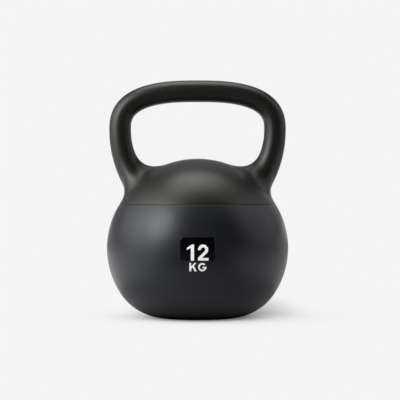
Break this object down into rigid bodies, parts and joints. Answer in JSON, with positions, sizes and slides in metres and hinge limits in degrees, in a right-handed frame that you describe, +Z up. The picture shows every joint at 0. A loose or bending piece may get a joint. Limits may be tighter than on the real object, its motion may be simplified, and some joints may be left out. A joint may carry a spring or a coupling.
{
  "type": "kettlebell",
  "caption": "Cast kettlebell with a wide looped handle blended into a round iron dome, standing in a bonded rubber base that covers the lower two thirds of the bell",
  "frame": {"origin": "middle of the underside, on the surface that the bell stands on", "axes": "+Z up; X along the handle's grip, in the plane of the handle's loop; -Y to the front, where the label is"},
  "size_m": [0.208, 0.208, 0.2725],
  "materials": {
    "iron": "fine matte black powder coat",
    "steel": "bare pressed sheet, hidden",
    "rubber": "smooth matte black",
    "label": "gloss black"
  },
  "bodies": {
    "root": {"cast_body": "iron", "core_plug": "steel", "rubber_base": "rubber", "weight_label": "label"}
  },
  "joints": []
}
